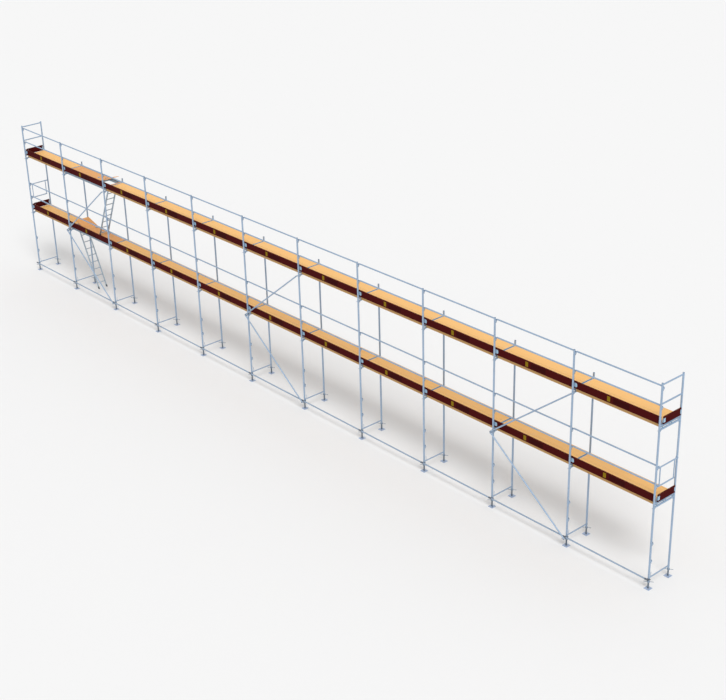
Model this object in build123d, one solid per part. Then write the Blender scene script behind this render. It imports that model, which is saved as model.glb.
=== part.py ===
from build123d import *
from math import cos, radians, sin
import os

os.makedirs("parts", exist_ok=True)

# A facade frame scaffold: twelve frame lines, eleven bays, two lifts, decked at both levels.
# X runs along the scaffold, Y from the front standards to the wall side, Z up.
# The origin is under the middle of frame line 1's front base plate. All sizes are in mm.

# Overall layout
bay_length = 2500.0
bay_count = 11
frame_width = 740.0            # front standard to rear standard, centre to centre
lift_height = 2000.0
lift_count = 2
frame_base = 215.0             # height of the lowest standard's end above the ground
access_bay = 2                 # the bay with the hatches and ladders
braced_bays = (2, 6, 10)

# Tubes
standard_diameter = 48.3
standard_wall = 3.2
rail_diameter = 38.0
rail_wall = 2.3
bottom_transom_diameter = 33.7
top_transom_diameter = 46.0
transom_wall = 2.6
spigot_play = 1.95             # to the bore of the standard above
spigot_wall = 3.2
spigot_length = 150.0          # above the standard's end
spigot_seat = 80.0             # pressed into the standard
bottom_transom_rise = 75.0     # transom centre above the frame's lower end
top_transom_seat = 2.0         # transom's top below the frame's upper end
gusset_leg = 50.0
gusset_drop = 38.0             # below the top transom
gusset_nose = 10.0
gusset_thickness = 6.0

# Pins on the frames
toe_pin_diameter = 12.0
toe_pin_height = 132.0
toe_pin_gap = 9.0              # behind the toe board
brace_pin_diameter = 14.0
brace_pin_length = 39.85       # beyond the standard's face

# Wedge boxes, wedges and guardrails
mid_rail_height = 558.0        # above each joint
top_rail_height = 1038.0
box_inner_width = 40.0         # along X
box_inner_depth = 24.0         # from the standard's face to the strap
box_plate = 4.0
box_height = 50.0
box_below_rail = 8.0
rail_end_gap = 40.0            # tube end to standard centre
lug_thickness = 5.0
lug_length = 60.0              # lug plate along the tube
lug_height = 24.0
lug_width = 15.0               # the tongue in the box
lug_gap = 3.0                  # between the two tongues and the box's middle
lug_bottom_gap = 6.0
wedge_width = 24.0
wedge_thick_top = 13.0
wedge_thick_bottom = 8.0
wedge_above = 18.0
wedge_below = 34.0
wedge_travel = 24.0
wedge_rivet = 6.0
gap = 1.5                      # loose play in the box

# Posts and end guards
post_above = 57.0              # post's end above the top guardrail
end_post_above = 42.0          # end post's end above its top cross rail
end_rail_gap = 5.0             # cross rail above a raised wedge
rear_stub_height = 242.0
end_guard_offset = 16.0        # end guard's plane, outwards from the frame line
hook_reach = 44.0              # hook's low end behind the wedge box
hook_gap = 3.0                 # to the front upright
end_guard_rear_inset = 103.0
end_guard_top_drop = 43.0      # end guard's tubes below the guardrails' centres
end_guard_low_drop = 51.0
hook_wall = 10.0
hook_height = 30.0

# Jacks
plate_size = 150.0
plate_thickness = 8.0
plate_hole_diameter = 14.0
plate_hole_spacing = 110.0
spindle_play = 1.95            # to the standard's bore
spindle_wall = 5.0
spindle_length = 600.0
nut_rim = 6.85                 # the nut's flange beyond the standard
nut_height = 44.0
nut_play = 0.35
handle_diameter = 13.0
handle_reach = 118.0
handle_angle = 35.0

# Decks
deck_gap = 4.0
deck_pin_gap = 2.0             # front edge behind the toe pins
deck_rear = 18.0               # rear edge from the rear standard's centre
deck_depth = 105.0
deck_rise = 105.0              # deck surface above the joint
deck_end_gap = 24.0
deck_skin = 14.0
deck_stile = 30.0
deck_rib = 40.0
deck_rib_count = 4
end_plate = 6.0
end_plate_drop = 0.5           # below the deck's surface
claw_thickness = 10.0
claw_wall = 8.0
claw_clearance = 1.5
claw_inset = 30.0
claw_stagger = 14.0

# Access decks, hatches and ladders (u is measured from the frame line at the ladder end)
access_rail = 25.0
access_skin = 12.0
cross_rail = 32.0
hatch_start = 96.0
hatch_length = 660.0
hatch_side_gap = 108.0         # deck front edge to hatch
hatch_play = 3.0
hatch_ledge = 12.0
hatch_open_angle = 17.5        # how far the lids stand open at rest
hinge_radius = 7.0
hinge_pin_diameter = 7.0
hinge_leaf = 3.0
hinge_leaf_length = 46.0
hinge_width = 70.0
hinge_inset = 60.0
hinge_play = 0.06
ladder_pivot = 135.0           # from the frame line
ladder_reach = 100.0           # how much further down the ground ladder goes
ladder_angle = 24.5            # from vertical
ladder_offset = -15.5          # from the hatch's middle, across the scaffold
ladder_gauge = 310.0
ladder_rail_width = 25.0
ladder_rail_depth = 50.0
ladder_rail_wall = 2.5
rung_diameter = 28.0
rung_wall = 2.0
rung_pitch = 245.0
first_rung = 262.0
rung_foot_gap = 2.0            # lowest rung to the foot
foot_length = 78.0
foot_wall = 3.0
foot_gap = 5.0                 # to the deck below
pivot_pin_diameter = 16.0
lug_plate = 8.0
lug_play = 2.0

# Toe boards
toe_board_height = 190.0
toe_board_thickness = 25.0
toe_board_clear = 5.85         # front face behind the standards' inner side
toe_board_gap = 4.0            # board end to frame line
toe_board_rest = 6.0           # above the bottom transom
clip_plate = 3.0
clip_length = 98.0
clip_height = 104.0
clip_round = 34.0
end_board_gap = 3.0            # end toe board to the toe pin
end_board_inset = 35.0         # end toe board's front end behind the toe boards
end_board_rear_gap = 2.0
end_clip_length = 60.0
end_clip_rear_length = 30.0

# Ledgers, braces and couplers
ledger_diameter = 38.0
ledger_gap = 6.85              # in front of the standards
ledger_clamp_gap = 1.15        # clamp below the bottom transom
ledger_joint = 25.0            # joint to the left of the standard
sleeve_wall = 5.0
sleeve_left = 72.0
sleeve_right = 22.0
clamp_wall = 9.0
ledger_clamp_height = 22.0
brace_clamp_height = 26.0
brace_diameter = 38.0
brace_gap = 1.7                # brace in front of the ledger sleeves
brace_rise = 14.0
brace_pin = 12.0
brace_hub_wall = 11.0
brace_vent = 8.0               # drain holes near the ends
tube_play = 0.3

# Values worked out from the sizes above
standard_radius = standard_diameter / 2
standard_bore = standard_diameter - 2 * standard_wall
spigot_diameter = standard_bore - 2 * spigot_play
spindle_diameter = standard_bore - 2 * spindle_play
nut_diameter = standard_diameter + 2 * nut_rim
frame_lines = [bay_length * i for i in range(bay_count + 1)]
joints = [frame_base + lift_height * i for i in range(lift_count + 1)]   # frame ends, bottom to top
deck_joints = joints[1:]
toe_board_front = standard_radius + toe_board_clear
toe_pin_setback = toe_board_front + toe_board_thickness + toe_pin_gap + toe_pin_diameter / 2
deck_front = toe_pin_setback + toe_pin_diameter / 2 + deck_pin_gap
deck_span = frame_width - deck_front - deck_rear
deck_width = (deck_span - deck_gap) / 2
end_rail_rise = wedge_above + wedge_travel - box_below_rail + rail_diameter / 2 + end_rail_gap
ledger_rise = bottom_transom_rise - bottom_transom_diameter / 2 - ledger_clamp_height / 2 - ledger_clamp_gap
top_transom_drop = top_transom_seat + top_transom_diameter / 2
brace_pin_reach = standard_radius + brace_pin_length
ledger_offset = standard_radius + ledger_gap + ledger_diameter / 2
sleeve_diameter = ledger_diameter + 2 * (tube_play + sleeve_wall)
brace_plane = ledger_offset + sleeve_diameter / 2 + brace_gap + brace_diameter / 2
box_front = standard_radius + box_inner_depth
hook_start = box_front + box_plate + 4
end_upright_diameter = bottom_transom_diameter - 6
end_guard_inset = hook_start + hook_reach + hook_gap + end_upright_diameter / 2
rail_plane = box_front + 1.0                        # guardrail centre, inside the standards
lug_face = standard_radius + gap                    # the tongue lies next to the standard
toe_board_low = bottom_transom_rise + bottom_transom_diameter / 2 + toe_board_rest
access_start = frame_lines[access_bay - 1]
access_end = frame_lines[access_bay]


def block(x, y, z):
    """A box between pairs of coordinates."""
    size = [span[1] - span[0] for span in (x, y, z)]
    return Pos(x[0], y[0], z[0]) * Box(*size, align=(Align.MIN, Align.MIN, Align.MIN))


def tube(start, end, diameter, wall=0.0):
    """A round tube between two points, or a solid bar when it has no wall."""
    a, b = Vector(*start), Vector(*end)
    plane = Plane(origin=a, z_dir=(b - a).normalized())
    section = Circle(diameter / 2)
    if wall:
        section -= Circle(diameter / 2 - wall)
    return extrude(plane * section, (b - a).length)


def upright(x, y, z, diameter, wall=0.0):
    return tube((x, y, z[0]), (x, y, z[1]), diameter, wall)


def plate(points, plane, thickness):
    """A flat plate with the outline given in the plane's own coordinates, thickened both ways."""
    return extrude(plane * make_face(Polyline(*points, close=True)), thickness / 2, both=True)


def solids_of(shapes):
    found = []
    for shape in shapes:
        found += list(shape.solids())
    return found


def save(node, shapes):
    export_step(Compound(children=solids_of(shapes)), f"parts/{node}.step")


# Frames, posts and the fittings welded to them

def standard_core(x, y, z):
    """The full round of a standard, for cutting the pieces welded against it."""
    return upright(x, y, z, standard_diameter)


def standard(x, y, base, height, spigot):
    body = upright(x, y, (base, base + height), standard_diameter, standard_wall)
    if spigot:
        top = base + height
        wall = (standard_bore - spigot_diameter) / 2 + spigot_wall
        body += upright(x, y, (top - spigot_seat, top), standard_bore, wall)
        body += upright(x, y, (top, top + spigot_length), spigot_diameter, spigot_wall)
    return body


def cross_tube(x, z, diameter, wall, front=0.0, rear=frame_width):
    """A tube across the scaffold, coped to the two standards."""
    body = tube((x, front, z), (x, rear, z), diameter, wall)
    for y in (0.0, frame_width):
        body -= standard_core(x, y, (z - diameter, z + diameter))
    return body.solids().sort_by(SortBy.VOLUME)[-1]


def toe_pin(x, base):
    z = base + bottom_transom_rise
    pin = upright(x, toe_pin_setback, (z, z + toe_pin_height), toe_pin_diameter)
    return pin - tube((x, 0, z), (x, frame_width, z), bottom_transom_diameter)


def wedge_box(x, rail_z):
    """The strap on the inner face of a front standard that takes two rail ends and a wedge."""
    low, high = rail_z - box_below_rail - box_height, rail_z - box_below_rail
    half = box_inner_width / 2
    outer = block((x - half - box_plate, x + half + box_plate), (0, box_front + box_plate), (low, high))
    inner = block((x - half, x + half), (0, box_front), (low, high))
    return outer - inner - standard_core(x, 0, (low, high))


def front_fittings(x, base):
    return [toe_pin(x, base), wedge_box(x, base + mid_rail_height), wedge_box(x, base + top_rail_height)]


def top_transom(x, z):
    """The deck-bearing transom with its two corner gussets."""
    body = tube((x, 0, z), (x, frame_width, z), top_transom_diameter, transom_wall)
    core = tube((x, 0, z), (x, frame_width, z), top_transom_diameter)
    side = Plane(origin=(x, 0, 0), x_dir=(0, 1, 0), z_dir=(1, 0, 0))
    for y, turn in ((0.0, 1), (frame_width, -1)):
        near, far = y + turn * (standard_radius - 4), y + turn * (standard_radius + gusset_leg)
        low = z - top_transom_diameter / 2
        corner = [(near, z), (far, z), (far, low - gusset_nose),
                  (y + turn * (standard_radius + gusset_nose), low - gusset_drop), (near, low - gusset_drop)]
        body += plate(corner, side, gusset_thickness) - core
    for y in (0.0, frame_width):
        body -= standard_core(x, y, (z - top_transom_diameter - 2 * gusset_drop, z + top_transom_diameter))
    return body.solids().sort_by(SortBy.VOLUME)[-1]


def brace_stub(x, z):
    pin = tube((x, 0, z), (x, -brace_pin_reach, z), brace_pin_diameter)
    return pin - standard_core(x, 0, (z - 20, z + 20))


def welded_frame(x, base):
    transom_z = base + lift_height - top_transom_drop
    return [
        standard(x, 0, base, lift_height, True),
        standard(x, frame_width, base, lift_height, True),
        cross_tube(x, base + bottom_transom_rise, bottom_transom_diameter, transom_wall),
        top_transom(x, transom_z),
        brace_stub(x, transom_z),
    ] + front_fittings(x, base)


def guard_post(x, base):
    """An intermediate post: upright, tube across the deck joint and short rear stub."""
    return [
        standard(x, 0, base, top_rail_height + post_above, False),
        standard(x, frame_width, base, rear_stub_height, False),
        cross_tube(x, base + bottom_transom_rise, bottom_transom_diameter, transom_wall),
    ] + front_fittings(x, base)


def end_guard_frame(x, base):
    """The closed frame that guards one end of the top deck."""
    top = top_rail_height + end_rail_rise
    rails = [(bottom_transom_rise, bottom_transom_diameter),
             (mid_rail_height + end_rail_rise, rail_diameter), (top, rail_diameter)]
    body = [standard(x, y, base, top + end_post_above, False) for y in (0.0, frame_width)]
    body += [cross_tube(x, base + height, diameter, rail_wall) for height, diameter in rails]
    return body + front_fittings(x, base)


# Guardrails and wedges

def guardrail(start, z):
    """A bay's rail: a tube with a lug plate at each end whose tongue drops into the wedge box."""
    end = start + bay_length
    run = ((start + rail_end_gap, rail_plane, z), (end - rail_end_gap, rail_plane, z))
    faces = (lug_face, lug_face + lug_thickness)
    bottom, low = z - box_below_rail - box_height + lug_bottom_gap, z - box_below_rail + 3
    pieces = [tube(*run, rail_diameter, rail_wall)]
    for line, turn in ((start, 1), (end, -1)):
        near, far = line + turn * lug_gap, line + turn * (rail_end_gap + lug_length)
        lug = block(sorted((near, far)), faces, (low, low + lug_height))
        lug += block(sorted((near, near + turn * lug_width)), faces, (bottom, z))
        pieces.append(lug - tube(*run, rail_diameter))
    return pieces


def wedge(x, rail_z):
    """A tapered wedge with the rivet that keeps it in its box."""
    high, low = rail_z - box_below_rail, rail_z - box_below_rail - box_height
    back = lug_face + lug_thickness + gap
    top, bottom = high + wedge_above, low - wedge_below
    outline = [(back, bottom), (back + wedge_thick_bottom, bottom),
               (back + wedge_thick_top, top), (back, top)]
    body = plate(outline, Plane(origin=(x, 0, 0), x_dir=(0, 1, 0), z_dir=(1, 0, 0)), wedge_width)
    rivet_z = low - wedge_travel - 1.0 - wedge_rivet / 2
    half = box_inner_width / 2 + box_plate
    rivet_y = back + wedge_thick_bottom / 2
    return body + tube((x - half, rivet_y, rivet_z), (x + half, rivet_y, rivet_z), wedge_rivet)


# End guardrails of the middle level

def box_hook(x, turn, rail_z, tube_z):
    """The plate that carries an end guard's tube over the strap and down into the box."""
    plane = Plane(origin=(x + turn * end_guard_offset, 0, 0), x_dir=(0, 1, 0), z_dir=(1, 0, 0))
    high, low = rail_z - box_below_rail, rail_z - box_below_rail - box_height
    outline = [(lug_face, low + lug_bottom_gap), (lug_face + lug_thickness, low + lug_bottom_gap),
               (lug_face + lug_thickness, high + 4), (hook_start, high + 4), (hook_start, tube_z - 12),
               (hook_start + hook_reach, tube_z - 12), (hook_start + hook_reach, tube_z + 12),
               (hook_start + 14, high + 26), (lug_face, high + 26)]
    return plate(outline, plane, 6.0)


def end_guard(x, base, turn):
    """A double end guardrail: two rails, two uprights, box hooks in front and a hook at the rear."""
    plane_x = x + turn * end_guard_offset
    top, low = base + top_rail_height - end_guard_top_drop, base + mid_rail_height - end_guard_low_drop
    start = hook_start + 10
    rear = frame_width - end_guard_rear_inset
    diameter = bottom_transom_diameter
    runs = [((plane_x, start, top), (plane_x, frame_width - standard_radius - 16, top)),
            ((plane_x, start, low), (plane_x, rear + diameter / 2, low))]
    cores = [tube(*run, diameter) for run in runs]
    others = [upright(plane_x, y, (low, top), end_upright_diameter, rail_wall) for y in (end_guard_inset, rear)]
    others.append(box_hook(x, turn, base + top_rail_height, top))
    others.append(box_hook(x, turn, base + mid_rail_height, low))
    ring = upright(x, frame_width, (top - hook_height / 2, top + hook_height / 2),
                   standard_diameter + 2 * (hook_wall + tube_play), hook_wall)
    wide = 2 * standard_diameter
    ring -= block((x - wide, x + wide), (frame_width + 8, frame_width + wide), (top - wide, top + wide))
    neck = block((plane_x - 6, plane_x + 6), (frame_width - standard_radius - 50, frame_width - 8),
                 (top - hook_height / 2, top + hook_height / 2))
    neck -= upright(x, frame_width, (top - wide, top + wide), standard_diameter + 2 * tube_play + hook_wall)
    others.append(ring + neck)
    coped = [(piece - cores[0] - cores[1]).solids().sort_by(SortBy.VOLUME)[-1] for piece in others]
    return [tube(*run, diameter, rail_wall) for run in runs] + coped


# Screw jacks

def jack(x, y):
    top = plate_thickness + spindle_length
    body = upright(x, y, (plate_thickness, top), spindle_diameter, spindle_wall)
    half, reach = plate_size / 2, plate_hole_spacing / 2
    foot = block((x - half, x + half), (y - half, y + half), (0, plate_thickness))
    for dx in (-reach, reach):
        for dy in (-reach, reach):
            foot -= upright(x + dx, y + dy, (-1, plate_thickness + 1), plate_hole_diameter)
    return body + foot


def jack_nut(x, y):
    """The nut under a standard, with its two handle bars."""
    top, bottom = frame_base, frame_base - nut_height
    bore = spindle_diameter + 2 * nut_play
    body = upright(x, y, (bottom, top), nut_diameter)
    middle = bottom + nut_height * 0.4
    dx = handle_reach * cos(radians(handle_angle))
    dy = handle_reach * sin(radians(handle_angle))
    body += tube((x - dx, y - dy, middle), (x + dx, y + dy, middle), handle_diameter)
    return body - upright(x, y, (bottom - 1, top + 1), bore)


# Decks

def claw(x, y, joint, turn):
    """A hook that lies over the top transom at frame line x; the deck is on its turn side."""
    tube_z = joint - top_transom_drop
    radius = top_transom_diameter / 2 + claw_clearance
    centre = tube_z - claw_clearance
    plane = Plane(origin=(x, y, centre), x_dir=(1, 0, 0), z_dir=(0, -1, 0))
    ring = extrude(plane * (Circle(radius + claw_wall) - Circle(radius)), -claw_thickness)
    wide = 2 * (radius + claw_wall)
    ring -= block((x - wide, x + wide), (y - wide, y + wide), (centre - wide, centre - 4))
    near, far = deck_end_gap - 3, deck_end_gap + end_plate
    neck = block(sorted((x + turn * near, x + turn * far)), (y, y + claw_thickness),
                 (centre - 4, joint + deck_rise - 4))
    return ring + (neck - extrude(plane * Circle(radius), -claw_thickness))


def deck_end(x, y_low, width, joint, turn, claws):
    """A deck's steel end fitting: an end plate and its claws."""
    plate_x = sorted((x + turn * deck_end_gap, x + turn * (deck_end_gap + end_plate)))
    top = joint + deck_rise
    body = block(plate_x, (y_low, y_low + width), (top - deck_depth, top - end_plate_drop))
    for y in claws:
        body += claw(x, y, joint, turn)
    return body


def claw_places(y_low, turn):
    shift = 0.0 if turn > 0 else claw_stagger
    return [y_low + claw_inset + shift, y_low + deck_width - claw_inset - claw_stagger + shift]


def deck_board(start, y_low, joint):
    """A timber deck: skin, two stiles and ribs below."""
    ends = (start + deck_end_gap + end_plate, start + bay_length - deck_end_gap - end_plate)
    top = joint + deck_rise
    y_high = y_low + deck_width
    body = block(ends, (y_low, y_high), (top - deck_skin, top))
    for y in (y_low, y_high - deck_stile):
        body += block(ends, (y, y + deck_stile), (top - deck_depth, top - deck_skin))
    step = (ends[1] - ends[0] - deck_rib) / (deck_rib_count - 1)
    for i in range(deck_rib_count):
        x = ends[0] + i * step
        body += block((x, x + deck_rib), (y_low + deck_stile, y_high - deck_stile),
                      (top - deck_depth + 10, top - deck_skin))
    return body


# Access deck, hatch and ladder, built with u from the ladder end, y and z, at a joint height of 0

hatch_y = (deck_front + hatch_side_gap, deck_front + deck_span - access_rail - 2.0)
hatch_u = (hatch_start, hatch_start + hatch_length)
deck_low, deck_top = deck_rise - deck_depth, deck_rise
inner_y = (deck_front + access_rail, deck_front + deck_span - access_rail)
skin_z = (deck_top - access_skin, deck_top)
beam_z = (deck_low, deck_top - access_skin - 1.0)
run_u = (deck_end_gap + end_plate, bay_length - deck_end_gap - end_plate)
hinge_u, hinge_z = hatch_u[1] + 1.0, deck_top + hinge_radius + 1.0
ladder_z = deck_low                # the pivot is level with the deck's underside
ladder_centre = (hatch_y[0] + hatch_y[1]) / 2 + ladder_offset
ladder_sides = (ladder_centre - ladder_gauge / 2, ladder_centre + ladder_gauge / 2)


def access_frame():
    """The aluminium frame of an access deck, with the ledges and the ladder's lugs."""
    body = block(run_u, (deck_front, inner_y[0]), (deck_low, deck_top))
    body += block(run_u, (inner_y[1], deck_front + deck_span), (deck_low, deck_top))
    rest = hatch_u[1] + 1.0
    middle = (rest + run_u[1]) / 2
    for u in (run_u[0], hatch_u[0] + hatch_ledge - cross_rail, rest, middle, run_u[1] - cross_rail):
        body += block((u, u + cross_rail), inner_y, beam_z)
    side = hatch_y[0] + hatch_ledge
    body += block((hatch_u[0], rest), (side - cross_rail, side), beam_z)
    body += block((hatch_u[0], rest), (inner_y[1] - hatch_ledge, inner_y[1]), (beam_z[1] - 16, beam_z[1]))
    for y in lug_plates():
        body += block((ladder_pivot - 58, hatch_u[0] + hatch_ledge), y, (ladder_z - 18, deck_low + 10))
        body += block((hatch_u[0] + hatch_ledge, ladder_pivot + 18), y, (ladder_z - 18, ladder_z + 18))
    pin = pivot_pin_diameter + 2 * hinge_play
    return body - tube((ladder_pivot, 0, ladder_z), (ladder_pivot, frame_width, ladder_z), pin)


def lug_plates():
    half = ladder_rail_width / 2 + lug_play
    return [(ladder_sides[0] - half - lug_plate, ladder_sides[0] - half),
            (ladder_sides[1] + half, ladder_sides[1] + half + lug_plate)]


def access_panels():
    """The fixed plywood: behind the hatch, in front of it and beside it."""
    return [
        block((hatch_u[1] + 2.0, run_u[1]), inner_y, skin_z),
        block((run_u[0], hatch_u[0]), inner_y, skin_z),
        block((hatch_u[0] + 0.5, hatch_u[1] + 1.5), (inner_y[0], hatch_y[0] - hatch_play), skin_z),
    ]


def hinge_places():
    return (hatch_y[0] + hinge_inset, hatch_y[1] - hinge_inset - hinge_width)


def knuckle(y):
    ring = tube((hinge_u, y[0], hinge_z), (hinge_u, y[1], hinge_z), 2 * hinge_radius)
    return ring - tube((hinge_u, y[0] - 1, hinge_z), (hinge_u, y[1] + 1, hinge_z),
                       hinge_pin_diameter + 2 * hinge_play)


def hinge_leaf_piece(y, turn):
    """A leaf on the deck surface on the turn side of the hinge line, with its knuckle."""
    far = hinge_u + turn * (hinge_radius + hinge_leaf_length)
    leaf = block(sorted((hinge_u, far)), y, (deck_top, deck_top + hinge_leaf))
    leaf += block(sorted((hinge_u, hinge_u + turn * hinge_radius)), y, (deck_top, hinge_z))
    leaf -= tube((hinge_u, y[0] - 1, hinge_z), (hinge_u, y[1] + 1, hinge_z), 2 * hinge_radius)
    return leaf + knuckle(y)


def fixed_hinges():
    third = hinge_width / 3
    found = []
    for y in hinge_places():
        found += [hinge_leaf_piece((y, y + third - 0.5), 1),
                  hinge_leaf_piece((y + 2 * third + 0.5, y + hinge_width), 1)]
    return found


def moving_hinges():
    third = hinge_width / 3
    return [hinge_leaf_piece((y + third, y + 2 * third), -1) for y in hinge_places()]


def hatch_lid():
    return [block((hatch_u[0] + hatch_play, hatch_u[1]), hatch_y, skin_z)]


def opened(shapes):
    """Turns the hatch's pieces about the hinge pin to their rest angle."""
    axis = Axis((hinge_u, 0, hinge_z), (0, 1, 0))
    return [shape.rotate(axis, hatch_open_angle) for shape in shapes]


def hinge_pins():
    pins = []
    for y in hinge_places():
        ends = (hinge_u, y - 3, hinge_z), (hinge_u, y + hinge_width + 3, hinge_z)
        pins.append(tube(*ends, hinge_pin_diameter))
    (low, _), (_, high) = lug_plates()
    pin = tube((ladder_pivot, low - 6, ladder_z), (ladder_pivot, high + 6, ladder_z), pivot_pin_diameter)
    for y in (low - 6, high + 1):
        pin += tube((ladder_pivot, y, ladder_z), (ladder_pivot, y + 5, ladder_z), pivot_pin_diameter + 10)
    return pins + [pin]


def ladder(extra):
    """A ladder hanging from its pivot; its feet end just above the deck of the level below, or lower."""
    foot_z = deck_top + foot_gap - lift_height - extra
    length = (ladder_z - foot_z) / cos(radians(ladder_angle))
    lean = Axis((ladder_pivot, 0, ladder_z), (0, 1, 0))
    cut = block((-lift_height, 2 * lift_height), (0, frame_width), (foot_z - lift_height, foot_z))
    bore = tube((ladder_pivot, 0, ladder_z), (ladder_pivot, frame_width, ladder_z),
                pivot_pin_diameter + 2 * hinge_play)
    depth, width = ladder_rail_depth, ladder_rail_width
    reach = length + depth
    foot_top = ladder_z - length + foot_length
    last_rung = length - foot_length - rung_foot_gap - rung_diameter / 2
    inset = ladder_rail_wall
    pieces = []
    for y in ladder_sides:
        side = (y - width / 2, y + width / 2)
        rail = block((ladder_pivot - depth / 2, ladder_pivot + depth / 2), side,
                     (ladder_z - reach, ladder_z))
        rail += tube((ladder_pivot, side[0], ladder_z), (ladder_pivot, side[1], ladder_z), depth)
        rail -= block((ladder_pivot - depth / 2 + inset, ladder_pivot + depth / 2 - inset),
                      (side[0] + inset, side[1] - inset), (ladder_z - reach - 1, ladder_z - first_rung / 2))
        foot = block((ladder_pivot - depth / 2 - foot_wall, ladder_pivot + depth / 2 + foot_wall),
                     (side[0] - foot_wall, side[1] + foot_wall), (ladder_z - reach, foot_top))
        foot -= block((ladder_pivot - depth / 2, ladder_pivot + depth / 2), side,
                      (ladder_z - reach - 1, foot_top + 1))
        pieces += [rail, foot]
    leant = [piece.rotate(lean, -ladder_angle) for piece in pieces]
    leant = [(piece - bore - cut).solids().sort_by(SortBy.VOLUME)[-1] for piece in leant]
    inner = (ladder_sides[0] + width / 2, ladder_sides[1] - width / 2)
    for i in range(int((last_rung - first_rung) / rung_pitch) + 1):
        z = ladder_z - first_rung - i * rung_pitch
        rung = tube((ladder_pivot, inner[0], z), (ladder_pivot, inner[1], z), rung_diameter, rung_wall)
        leant.append(rung.rotate(lean, -ladder_angle))
    return leant


def placed(shapes, level):
    """Moves access-bay pieces to their level; the upper one is mirrored end for end."""
    joint = deck_joints[level]
    if level == 0:
        return [Pos(access_start, 0, joint) * shape for shape in shapes]
    return [Pos(access_end, 0, joint) * mirror(shape, about=Plane.YZ) for shape in shapes]


# Toe boards

def toe_board(start, base):
    low = base + toe_board_low
    faces = (toe_board_front, toe_board_front + toe_board_thickness)
    return block((start + toe_board_gap + clip_plate, start + bay_length - toe_board_gap), faces,
                 (low, low + toe_board_height))


def toe_clip(start, base):
    """The bent sheet shoe on a toe board's left end, with rounded cheeks."""
    low = base + toe_board_low + (toe_board_height - clip_height) / 2
    x = start + toe_board_gap
    y = (toe_board_front - clip_plate, toe_board_front + toe_board_thickness + clip_plate)
    body = block((x, x + clip_length), y, (low, low + clip_height))
    far = body.edges().filter_by(Axis.Y).group_by(Axis.X)[-1]
    body = fillet(far, clip_round)
    return body - block((x + clip_plate, x + clip_length + 1), (toe_board_front, y[1] - clip_plate),
                        (low - 1, low + clip_height + 1))


end_board_near = toe_pin_diameter / 2 + end_board_gap
end_board_x = (end_board_near, end_board_near + toe_board_thickness)
end_board_y = (toe_board_front + toe_board_thickness + end_board_inset,
               frame_width - standard_radius - clip_plate - end_board_rear_gap)


def end_toe_board(x, base, turn):
    low = base + toe_board_low
    return block(sorted(x + turn * reach for reach in end_board_x), end_board_y,
                 (low, low + toe_board_height))


def end_toe_clip(x, base, turn, length, rear):
    """The sheet shoe on one end of an end toe board."""
    low = base + toe_board_low + (toe_board_height - clip_height) / 2
    near, far = end_board_x
    end, inward = (end_board_y[1], -1) if rear else (end_board_y[0], 1)
    shoe_x = sorted((x + turn * (near - clip_plate), x + turn * (far + clip_plate)))
    shoe_y = sorted((end - inward * clip_plate, end + inward * length))
    shoe = block(shoe_x, shoe_y, (low, low + clip_height))
    pocket = sorted((end, end + inward * (length + 1)))
    return shoe - block(sorted((x + turn * near, x + turn * far)), pocket, (low - 1, low + clip_height + 1))


# Ledgers, braces and couplers

def ledger(start):
    z = frame_base + ledger_rise
    left = start - ledger_joint + 1 if start else start - sleeve_left + 4
    right = start + bay_length - ledger_joint - 1
    return tube((left, -ledger_offset, z), (right, -ledger_offset, z), ledger_diameter, rail_wall)


def clamp(x, z, height):
    """A clamp ring round a front standard, with its flange and bolt at the inner side."""
    low, high = z - height / 2, z + height / 2
    outer = standard_diameter + 2 * (tube_play + clamp_wall)
    body = upright(x, 0, (low, high), outer)
    body += block((x + 6, x + outer / 2 + 20), (-7, 7), (low + 3, high - 3))
    return body - upright(x, 0, (low - 1, high + 1), standard_diameter + 2 * tube_play)


def base_coupler(x):
    """A clamp on the standard with the sleeve that joins two ledgers."""
    z = frame_base + ledger_rise
    body = clamp(x, z, ledger_clamp_height)
    run = (x - sleeve_left, -ledger_offset, z), (x + sleeve_right, -ledger_offset, z)
    body += tube(*run, sleeve_diameter)
    body -= upright(x, 0, (z - sleeve_diameter, z + sleeve_diameter), standard_diameter + 2 * tube_play)
    return body - tube((x - sleeve_left - 1, -ledger_offset, z), (x + sleeve_right + 1, -ledger_offset, z),
                       ledger_diameter + 2 * tube_play)


def brace_coupler(x, base):
    """A clamp with the pivot bolt of a brace's lower end."""
    z = base + brace_rise
    body = clamp(x, z, brace_clamp_height)
    start = standard_radius + tube_play + clamp_wall / 2
    body += tube((x, -start, z), (x, -brace_plane - brace_diameter / 2 - 4, z), brace_pin)
    end = brace_plane + brace_diameter / 2 + 2
    return body + tube((x, -end, z), (x, -end - 8, z), brace_pin + 10)


def brace(bay, lift):
    """A diagonal tube with a hub at each end. The lower lift falls along X, the upper one rises."""
    left, right = frame_lines[bay - 1], frame_lines[bay]
    base = joints[lift]
    high_z = base + lift_height - top_transom_drop
    low_z = base + brace_rise
    low_x, high_x = (right, left) if lift == 0 else (left, right)
    low, high = (low_x, -brace_plane, low_z), (high_x, -brace_plane, high_z)
    outer = brace_plane + brace_diameter / 2
    face, inside = -outer - 1.5, -outer + brace_diameter - 4
    low_bore, high_bore = brace_pin + 2 * tube_play, brace_pin_diameter + 2 * tube_play
    body = tube(low, high, brace_diameter, rail_wall)
    body += tube((low_x, face, low_z), (low_x, inside, low_z), brace_pin + 2 * brace_hub_wall)
    body += tube((high_x, face, high_z), (high_x, -brace_pin_reach + 12, high_z),
                 brace_pin_diameter + 2 * brace_hub_wall)
    for share in (0.04, 0.96):
        x, z = low_x + share * (high_x - low_x), low_z + share * (high_z - low_z)
        body -= tube((x, -outer - 1, z), (x, -brace_plane, z), brace_vent)
    body -= tube((low_x, face - 1, low_z), (low_x, 0, low_z), low_bore)
    return body - tube((high_x, -brace_pin_reach - 1, high_z), (high_x, 0, high_z), high_bore)


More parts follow.
